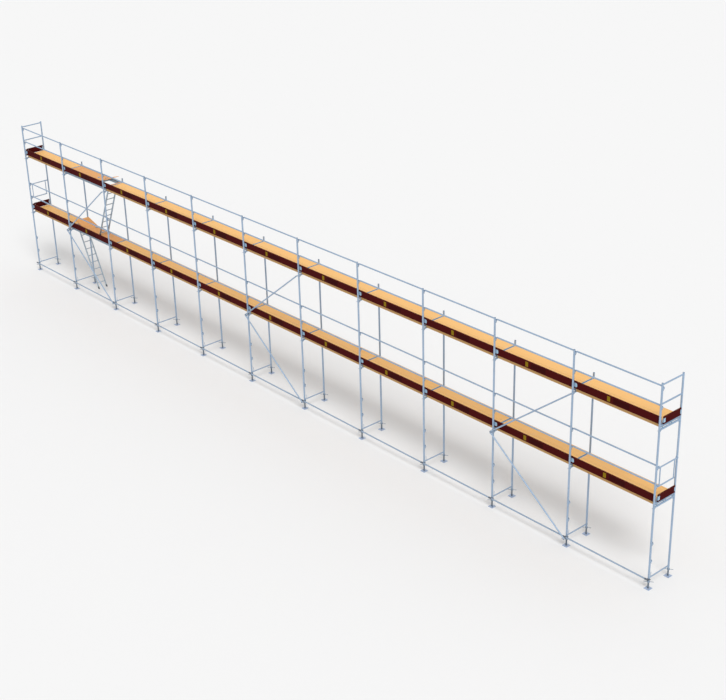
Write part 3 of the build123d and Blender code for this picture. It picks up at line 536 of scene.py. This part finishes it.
def scatterTree(name, makeShape):
    # instances one shape on every point, turned to its facing and scaled by its size
    tree, start, end = geometryTree(name, [("Radius", floatKind, 0.01), ("Height", floatKind, 0.004),
                                           ("Material", "NodeSocketMaterial", None)])
    shape = makeShape(tree, start)
    turn = addNode(tree, "FunctionNodeAlignRotationToVector", axis="Z")
    join(tree, namedAttribute(tree, "facing", "FLOAT_VECTOR"), turn.inputs["Vector"])
    scatter = addNode(tree, "GeometryNodeInstanceOnPoints")
    join(tree, start.outputs["Geometry"], scatter.inputs["Points"])
    join(tree, shape, scatter.inputs["Instance"])
    join(tree, turn.outputs["Rotation"], scatter.inputs["Rotation"])
    join(tree, namedAttribute(tree, "size", "FLOAT"), scatter.inputs["Scale"])
    finishTree(tree, start, end, scatter.outputs[0])
    return tree


def weldShape(tree, start):
    # a lumpy bead round a tube end; the ring's radius is the copy's size
    circle = addNode(tree, "GeometryNodeCurvePrimitiveCircle", mode="RADIUS")
    circle.inputs["Resolution"].default_value = 20
    circle.inputs["Radius"].default_value = 1.0
    bead = addNode(tree, "GeometryNodeCurvePrimitiveCircle", mode="RADIUS")
    bead.inputs["Resolution"].default_value = 5
    join(tree, start.outputs["Radius"], bead.inputs["Radius"])
    body = addNode(tree, "GeometryNodeCurveToMesh")
    join(tree, circle.outputs["Curve"], body.inputs["Curve"])
    join(tree, bead.outputs["Curve"], body.inputs["Profile Curve"])
    wobble = addNode(tree, "ShaderNodeTexNoise")
    wobble.inputs["Scale"].default_value = 6.0
    offset = addNode(tree, "ShaderNodeVectorMath", operation="SCALE")
    shifted = addNode(tree, "ShaderNodeVectorMath", operation="SUBTRACT")
    shifted.inputs[1].default_value = (0.5, 0.5, 0.5)
    join(tree, wobble.outputs["Color"], shifted.inputs[0])
    join(tree, shifted.outputs[0], offset.inputs[0])
    offset.inputs["Scale"].default_value = 0.06
    move = addNode(tree, "GeometryNodeSetPosition")
    join(tree, body.outputs[0], move.inputs["Geometry"])
    join(tree, offset.outputs[0], move.inputs["Offset"])
    return move.outputs[0]


def headShape(sides, domed):
    def shape(tree, start):
        # a screw, rivet or bolt head with a chamfered rim
        half = addNode(tree, "GeometryNodeMeshCone", fill_type="NGON")
        half.inputs["Vertices"].default_value = sides
        half.inputs["Side Segments"].default_value = 1
        join(tree, start.outputs["Radius"], half.inputs["Radius Bottom"])
        small = addNode(tree, "ShaderNodeMath", operation="MULTIPLY")
        small.inputs[1].default_value = 0.55 if domed else 0.84
        join(tree, start.outputs["Radius"], small.inputs[0])
        join(tree, small.outputs[0], half.inputs["Radius Top"])
        join(tree, start.outputs["Height"], half.inputs["Depth"])
        return half.outputs["Mesh"]
    return shape


def threadTree():
    # a rolled round thread: a coil on a core, with a plain end above it
    tree, start, end = geometryTree("spindleThread", [
        ("Major Radius", floatKind, 0.019), ("Depth", floatKind, 0.0021), ("Pitch", floatKind, 0.008),
        ("Turns", floatKind, 55.0), ("Core Length", floatKind, 0.6), ("Start Height", floatKind, 0.012),
        ("Material", "NodeSocketMaterial", None)])
    ridge = mathNode(tree, "SUBTRACT", start.outputs["Major Radius"], start.outputs["Depth"])
    coil = addNode(tree, "GeometryNodeCurveSpiral")
    coil.inputs["Resolution"].default_value = 14
    join(tree, start.outputs["Turns"], coil.inputs["Rotations"])
    join(tree, ridge, coil.inputs["Start Radius"])
    join(tree, ridge, coil.inputs["End Radius"])
    climb = mathNode(tree, "MULTIPLY", start.outputs["Turns"], start.outputs["Pitch"])
    join(tree, climb, coil.inputs["Height"])
    section = addNode(tree, "GeometryNodeCurvePrimitiveCircle", mode="RADIUS")
    section.inputs["Resolution"].default_value = 6
    join(tree, start.outputs["Depth"], section.inputs["Radius"])
    thread = addNode(tree, "GeometryNodeCurveToMesh")
    thread.inputs["Fill Caps"].default_value = True
    join(tree, coil.outputs["Curve"], thread.inputs["Curve"])
    join(tree, section.outputs["Curve"], thread.inputs["Profile Curve"])
    core = addNode(tree, "GeometryNodeMeshCylinder", fill_type="NGON")
    core.inputs["Vertices"].default_value = 20
    join(tree, ridge, core.inputs["Radius"])
    join(tree, start.outputs["Core Length"], core.inputs["Depth"])
    middle = addNode(tree, "ShaderNodeCombineXYZ")
    # the core starts 4 mm below the coil
    half = mathNode(tree, "MULTIPLY_ADD", start.outputs["Core Length"], 0.5, -0.004)
    join(tree, half, middle.inputs[2])
    raiseCore = addNode(tree, "GeometryNodeTransform")
    join(tree, core.outputs["Mesh"], raiseCore.inputs["Geometry"])
    join(tree, middle.outputs[0], raiseCore.inputs["Translation"])
    both = addNode(tree, "GeometryNodeJoinGeometry")
    join(tree, thread.outputs[0], both.inputs[0])
    join(tree, raiseCore.outputs[0], both.inputs[0])
    up = addNode(tree, "ShaderNodeCombineXYZ")
    join(tree, start.outputs["Start Height"], up.inputs[2])
    raiseAll = addNode(tree, "GeometryNodeTransform")
    join(tree, both.outputs[0], raiseAll.inputs["Geometry"])
    join(tree, up.outputs[0], raiseAll.inputs["Translation"])
    onPoints = addNode(tree, "GeometryNodeInstanceOnPoints")
    join(tree, start.outputs["Geometry"], onPoints.inputs["Points"])
    join(tree, raiseAll.outputs[0], onPoints.inputs["Instance"])
    finishTree(tree, start, end, onPoints.outputs[0])
    return tree


weldTree = scatterTree("weldBeads", weldShape)
screwTree = scatterTree("screwHeads", headShape(10, False))
rivetTree = scatterTree("domedRivets", headShape(10, True))
boltTree = scatterTree("hexBolts", headShape(6, False))
jackThread = threadTree()
print("geometry trees ready")

jackSizes = {"majorRadius": 0.019, "threadDepth": 0.0021, "pitch": 0.008, "turns": 57.0, "start": 0.012,
             "coreFoot": 0.008, "plateTop": 0.0081, "weldRadius": 0.0205, "weldHeight": 0.009,
             "weldBead": 0.0042}


def platePart(node):
    # the plate with its nail holes, taken from a merged copy of the CAD mesh
    mesh = nodes[node].data.copy()
    work = bmesh.new()
    work.from_mesh(mesh)
    bmesh.ops.remove_doubles(work, verts=work.verts, dist=1e-5)
    above = [v for v in work.verts if v.co.z > jackSizes["plateTop"]]
    bmesh.ops.delete(work, geom=above, context="VERTS")
    work.to_mesh(mesh)
    work.free()
    return mesh


def closeTube(work, rings):
    # faces between a closed loop of vertex rings
    for i, ring in enumerate(rings):
        following = rings[(i + 1) % len(rings)]
        for k in range(len(ring)):
            m = (k + 1) % len(ring)
            work.faces.new((ring[k], following[k], following[m], ring[m]))


def weldRing(centre, radius, bead):
    # an uneven bead round the foot of the spindle
    work = bmesh.new()
    rings = []
    around, section = 28, 6
    for i in range(around):
        a = 2 * pi * i / around
        wobble = 1 + 0.12 * sin(7 * a) + 0.07 * sin(13 * a)
        ring = []
        for k in range(section):
            b = 2 * pi * k / section
            r = radius + bead * wobble * cos(b)
            ring.append(work.verts.new(centre + Vector((r * cos(a), r * sin(a), bead * wobble * sin(b)))))
        rings.append(ring)
    closeTube(work, rings)
    mesh = bpy.data.meshes.new("weldRing")
    bmesh.ops.recalc_face_normals(work, faces=work.faces)
    work.to_mesh(mesh)
    work.free()
    return mesh


def joinMeshes(name, meshes, material):
    work = bmesh.new()
    for mesh in meshes:
        work.from_mesh(mesh)
    joined = bpy.data.meshes.new(name)
    work.to_mesh(joined)
    work.free()
    joined.materials.append(material)
    for polygon in joined.polygons:
        polygon.material_index = 0
    piece = bpy.data.objects.new(name, joined)
    bpy.context.scene.collection.objects.link(piece)
    return piece


jackNames = sorted(n for n in nodes if n.startswith("jack_front") or n.startswith("jack_rear"))
for name in jackNames:
    low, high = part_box(name)
    centre = (low + high) / 2
    spot = pointMesh(name + "Spot", [(centre.x, centre.y, 0.0)], [(0, 0, 1)], [1.0])
    thread = runTree(name + "Thread", jackThread, spot, {
        "Major Radius": jackSizes["majorRadius"], "Depth": jackSizes["threadDepth"],
        "Pitch": jackSizes["pitch"], "Turns": jackSizes["turns"],
        "Core Length": high.z - jackSizes["coreFoot"], "Start Height": jackSizes["start"]}, screwJack)
    foot = Vector((centre.x, centre.y, jackSizes["weldHeight"]))
    ring = weldRing(foot, jackSizes["weldRadius"], jackSizes["weldBead"])
    piece = joinMeshes(name + "_screw", [thread.data, platePart(name), ring], screwJack)
    bpy.data.objects.remove(thread)
    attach(piece, name + "_screw")
    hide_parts(name)
print("screw jacks:", len(jackNames))

welds = {"bead": 0.09, "bottomRise": 0.075, "topDrop": 0.025, "lowRadius": 0.0172, "topRadius": 0.0232,
         "bracePinRadius": 0.0073, "toePinRadius": 0.0063, "toePinY": 0.070, "toePinRise": 0.0165}


def frameWelds():
    # beads where the transoms, the brace pins and the toe board pins meet their tubes
    points, facings, sizes = [], [], []

    def ring(x, y, z, facing, radius):
        points.append((x, y, z))
        facings.append(facing)
        sizes.append(radius)

    for x in frameXs:
        for level, z in enumerate(bases):
            for y in (tubeRadius, rearY - tubeRadius):
                ring(x, y, z + welds["bottomRise"], (0, 1, 0), welds["lowRadius"])
                if level < 2:
                    ring(x, y, z + lift - welds["topDrop"], (0, 1, 0), welds["topRadius"])
            toePinZ = z + welds["bottomRise"] + welds["toePinRise"]
            ring(x, welds["toePinY"], toePinZ, (0, 0, 1), welds["toePinRadius"])
            if level < 2:
                ring(x, -tubeRadius, z + lift - welds["topDrop"], (0, 1, 0), welds["bracePinRadius"])
    return pointMesh("weldPoints", points, facings, sizes)


beads = runTree("frame_weld_beads", weldTree, frameWelds(), {"Radius": welds["bead"]}, weldMetal)
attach(beads, "scaffold")

deckFixings = {"edge": 0.018, "endInset": 0.075, "perSide": 8, "headRadius": 0.0052, "headHeight": 0.0011,
               "width": 0.320, "gap": 0.004, "endGap": 0.030, "rowInset": 0.09, "rowStep": 0.045,
               "sink": 0.0002}


def deckScrews():
    # a row along each side of every board and three screws at each end; bay 2 has the access deck
    points = []
    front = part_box("deck_boards_lower")[0].y
    for top in deckTops:
        z = top - deckFixings["sink"]
        for i, x in enumerate(frameXs[:-1]):
            if i == 1:
                continue
            for row in range(2):
                near = front + row * (deckFixings["width"] + deckFixings["gap"])
                far = near + deckFixings["width"]
                first = x + deckFixings["endGap"] + deckFixings["endInset"]
                last = x + bay - deckFixings["endGap"] - deckFixings["endInset"]
                step = (last - first) / (deckFixings["perSide"] - 1)
                for k in range(deckFixings["perSide"]):
                    for y in (near + deckFixings["edge"], far - deckFixings["edge"]):
                        points.append((first + k * step, y, z))
                for y in (near + deckFixings["rowInset"], (near + far) / 2, far - deckFixings["rowInset"]):
                    points += [(first - deckFixings["rowStep"], y, z), (last + deckFixings["rowStep"], y, z)]
    return pointMesh("screwPoints", points, [(0, 0, 1)] * len(points), [1.0] * len(points))


screws = runTree("deck_screws", screwTree, deckScrews(),
                 {"Radius": deckFixings["headRadius"], "Height": deckFixings["headHeight"]}, pinSteel)
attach(screws, "scaffold")

clipFixings = {"heights": (0.030, 0.074), "fromLine": 0.048, "sink": 0.0002,
               "headRadius": 0.006, "headHeight": 0.003}


def clipRivets():
    # two rivets in the front of the clip that holds each bay's toe board
    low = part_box("toe_board_clips")[0]
    points = []
    for level in range(2):
        for x in frameXs[:-1]:
            for z in clipFixings["heights"]:
                points.append((x + clipFixings["fromLine"], low.y + clipFixings["sink"],
                               low.z + level * lift + z))
    return pointMesh("rivetPoints", points, [(0, -1, 0)] * len(points), [1.0] * len(points))


rivets = runTree("toe_board_rivets", rivetTree, clipRivets(),
                 {"Radius": clipFixings["headRadius"], "Height": clipFixings["headHeight"]}, pinSteel)
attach(rivets, "scaffold")

couplerFixings = {"rise": 0.046, "fromLine": 0.044, "side": 0.0072, "headRadius": 0.0085, "headHeight": 0.007}


def couplerBolts():
    # a hexagon head on both sides of each ledger coupler's flange
    points, facings = [], []
    for x in frameXs:
        for side in (-1, 1):
            points.append((x + couplerFixings["fromLine"], side * couplerFixings["side"],
                           base + couplerFixings["rise"]))
            facings.append((0, side, 0))
    return pointMesh("boltPoints", points, facings, [1.0] * len(points))


bolts = runTree("coupler_bolts", boltTree, couplerBolts(),
                {"Radius": couplerFixings["headRadius"], "Height": couplerFixings["headHeight"]}, pinSteel)
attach(bolts, "scaffold")

braceFixings = {"bays": (2, 6, 10), "headRadius": 0.0125, "headHeight": 0.007}


def braceBolts():
    # a hexagon head on the hub at the upper end of each brace
    points = []
    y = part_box("diagonal_braces")[0].y
    for bayNumber in braceFixings["bays"]:
        left, right = frameXs[bayNumber - 1], frameXs[bayNumber]
        for level, x in enumerate((left, right)):
            points.append((x, y, bases[level] + lift - welds["topDrop"]))
    return pointMesh("bracePoints", points, [(0, -1, 0)] * len(points), [1.0] * len(points))


hubCaps = runTree("brace_hub_bolts", boltTree, braceBolts(),
                  {"Radius": braceFixings["headRadius"], "Height": braceFixings["headHeight"]}, pinSteel)
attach(hubCaps, "scaffold")

caps = {"radius": 0.0238, "height": 0.0045}


def postCaps():
    # pressed caps that close the open tops of the posts
    points = []
    postTop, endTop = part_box("guardrail_posts")[1].z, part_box("end_guard_frames")[1].z
    for i, x in enumerate(frameXs):
        atEnd = i in (0, len(frameXs) - 1)
        points.append((x, 0.0, endTop if atEnd else postTop))
        if atEnd:
            points.append((x, rearY, endTop))
    return pointMesh("capPoints", points, [(0, 0, 1)] * len(points), [1.0] * len(points))


domes = runTree("post_caps", rivetTree, postCaps(),
                {"Radius": caps["radius"], "Height": caps["height"]}, castZinc)
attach(domes, "scaffold")

railSizes = {"radius": 0.019, "endGap": 0.041, "heights": (0.558, 1.038), "beadInset": 0.001, "bead": 0.10}


def railEnds():
    # welds where the guardrails' lug plates meet their tubes
    points = []
    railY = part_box("guardrails")[1].y - railSizes["radius"]
    for x in frameXs[:-1]:
        for level in (1, 2):
            for height in railSizes["heights"]:
                for end in (x + railSizes["endGap"], x + bay - railSizes["endGap"]):
                    points.append((end, railY, bases[0] + (level * lift) + height))
    beadRadius = railSizes["radius"] - railSizes["beadInset"]
    return pointMesh("railPoints", points, [(1, 0, 0)] * len(points), [beadRadius] * len(points))


railBeads = runTree("guardrail_welds", weldTree, railEnds(), {"Radius": railSizes["bead"]}, weldMetal)
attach(railBeads, "scaffold")

wedgeSizes = {"firstRail": 0.558, "railStep": 0.480, "rivetDrop": 0.086, "rivetY": 0.03615,
              "headRadius": 0.0038, "headHeight": 0.0024}


def wedgeRivets():
    # the small heads that keep each wedge captive, on both sides of its blade
    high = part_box("guardrail_wedges")[1]
    points, facings = [], []
    lowestRivet = bases[0] + wedgeSizes["firstRail"] - wedgeSizes["rivetDrop"]
    for level in range(3):
        for rise in (0.0, wedgeSizes["railStep"]):
            for x in frameXs:
                for side in (-1, 1):
                    points.append((x + side * (high.x - frameXs[-1]), wedgeSizes["rivetY"],
                                   lowestRivet + level * lift + rise))
                    facings.append((side, 0, 0))
    return pointMesh("wedgePoints", points, facings, [1.0] * len(points))


wedgeHeads = runTree("wedge_rivet_heads", rivetTree, wedgeRivets(),
                     {"Radius": wedgeSizes["headRadius"], "Height": wedgeSizes["headHeight"]}, pinSteel)
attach(wedgeHeads, "wedges")

nutSizes = {"rim": 0.0308, "top": 0.0022, "bottom": 0.0418, "bead": 0.07, "barReach": 0.118,
            "barAngle": 35.0, "barRadius": 0.0067, "barDrop": 0.0264, "capShare": 0.992, "beadShare": 0.86}


def nutRims():
    # rolled rims round each nut and a bead that closes each end of its two handle bars
    points, facings, sizes = [], [], []
    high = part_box("jack_nuts")[1].z
    dx, dy = (nutSizes["barReach"] * f(radians(nutSizes["barAngle"])) for f in (cos, sin))
    for x in frameXs:
        for y in (0.0, rearY):
            for drop in (nutSizes["top"], nutSizes["bottom"]):
                points.append((x, y, high - drop))
                facings.append((0, 0, 1))
                sizes.append(nutSizes["rim"])
            for side in (-1, 1):
                reach = side * nutSizes["capShare"]
                points.append((x + dx * reach, y + dy * reach, high - nutSizes["barDrop"]))
                facings.append((side * dx, side * dy, 0))
                sizes.append(nutSizes["barRadius"] * nutSizes["beadShare"])
    return pointMesh("nutPoints", points, facings, sizes)


rims = runTree("jack_nut_rims", weldTree, nutRims(), {"Radius": nutSizes["bead"]}, castZinc)
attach(rims, "scaffold")
print("welds and fixings placed")

latchSizes = {"lower": (3.75, 0.484), "upper": (3.98, 0.474), "length": 0.11, "width": 0.07,
              "thickness": 0.0025, "corner": 0.012, "ringRadius": 0.021, "ringWire": 0.0035}


def latchPlate(name, centre, top):
    # a rounded recess plate with a lifting ring lying in it
    work = bmesh.new()
    halfLength, halfWidth, r = latchSizes["length"] / 2, latchSizes["width"] / 2, latchSizes["corner"]
    outline = []
    for corner, (sx, sy) in enumerate(((1, 1), (-1, 1), (-1, -1), (1, -1))):
        for k in range(6):
            a = pi / 2 * (corner + k / 5)
            outline.append((centre[0] + sx * (halfLength - r) + r * cos(a),
                            centre[1] + sy * (halfWidth - r) + r * sin(a)))

    def outlineRow(shareX, shareY, rise):
        return [work.verts.new((centre[0] + (x - centre[0]) * shareX, centre[1] + (y - centre[1]) * shareY,
                                top + rise)) for x, y in outline]

    thickness = latchSizes["thickness"]
    bottom = outlineRow(1.0, 1.0, 0.0)
    lip = outlineRow(1.0, 1.0, thickness * 0.6)
    inset = outlineRow(0.96, 0.94, thickness)
    well = outlineRow(0.80, 0.72, thickness)
    floor = outlineRow(0.76, 0.66, 0.0004)
    rows = (bottom, lip, inset, well, floor)
    for first, second in zip(rows, rows[1:]):
        for i in range(len(first)):
            j = (i + 1) % len(first)
            work.faces.new((first[i], first[j], second[j], second[i]))
    work.faces.new(floor)
    work.faces.new(list(reversed(bottom)))
    around, section = 24, 8
    rings = []
    for i in range(around):
        a = 2 * pi * i / around
        ring = []
        for k in range(section):
            b = 2 * pi * k / section
            reach = latchSizes["ringRadius"] + latchSizes["ringWire"] * cos(b)
            ring.append(work.verts.new((centre[0] + reach * cos(a), centre[1] + reach * sin(a),
                                        top + 0.0005 + latchSizes["ringWire"] * (1 + sin(b)))))
        rings.append(ring)
    closeTube(work, rings)
    bmesh.ops.recalc_face_normals(work, faces=work.faces)
    mesh = bpy.data.meshes.new(name)
    work.to_mesh(mesh)
    work.free()
    mesh.materials.append(sheetZinc)
    piece = bpy.data.objects.new(name, mesh)
    bpy.context.scene.collection.objects.link(piece)
    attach(piece, "scaffold")


for level, name in enumerate(("lower", "upper")):
    latchPlate(name + "_deck_lifting_ring", latchSizes[name], deckTops[level])
print("lifting rings placed")

studio = {"floorSize": 400.0, "floorColor": (0.84, 0.84, 0.84), "skyStrength": 0.70, "sunStrength": 1.6,
          "sunAngle": 25.0, "sunTilt": 36.0, "sunTurn": 60.0}


def makeFloor():
    mesh = bpy.data.meshes.new("floor")
    half = studio["floorSize"] / 2
    corners = [(-half, -half, 0), (half, -half, 0), (half, half, 0), (-half, half, 0)]
    mesh.from_pydata(corners, [], [(0, 1, 2, 3)])
    material, _, shader, _ = newMaterial("paleFloor", 0.0, 0.2)
    shader.inputs["Base Color"].default_value = (*studio["floorColor"], 1.0)
    shader.inputs["Roughness"].default_value = 0.9
    mesh.materials.append(material)
    floor = bpy.data.objects.new("floor", mesh)
    bpy.context.scene.collection.objects.link(floor)


def makeLight():
    world = bpy.data.worlds.new("studio")
    bpy.context.scene.world = world
    world.use_nodes = True
    world.node_tree.nodes["Background"].inputs[0].default_value = (1.0, 1.0, 1.0, 1.0)
    world.node_tree.nodes["Background"].inputs[1].default_value = studio["skyStrength"]
    sun = bpy.data.lights.new("softSun", "SUN")
    sun.energy = studio["sunStrength"]
    sun.angle = radians(studio["sunAngle"])
    lamp = bpy.data.objects.new("softSun", sun)
    lamp.rotation_euler = (radians(studio["sunTilt"]), 0.0, radians(studio["sunTurn"]))
    bpy.context.scene.collection.objects.link(lamp)


view = {"position": (44.343, -23.232, 19.741), "heading": 48.977, "pitch": 25.600, "roll": -1.584,
        "lens": 71.93}


def makeCamera():
    heading, pitch, roll = (radians(view[k]) for k in ("heading", "pitch", "roll"))
    forward = Vector((-sin(heading) * cos(pitch), cos(heading) * cos(pitch), -sin(pitch)))
    right = Vector((cos(heading), sin(heading), 0.0))
    up = right.cross(forward)
    across = right * cos(roll) + up * sin(roll)
    upward = up * cos(roll) - right * sin(roll)
    data = bpy.data.cameras.new("camera")
    data.lens = view["lens"]
    data.clip_end = 500.0
    camera = bpy.data.objects.new("camera", data)
    turn = Matrix((across, upward, -forward)).transposed().to_4x4()
    camera.matrix_world = Matrix.Translation(view["position"]) @ turn
    bpy.context.scene.collection.objects.link(camera)
    bpy.context.scene.camera = camera


makeFloor()
makeLight()
makeCamera()
bpy.context.scene.view_settings.view_transform = "Standard"
print("stage, light and camera set")
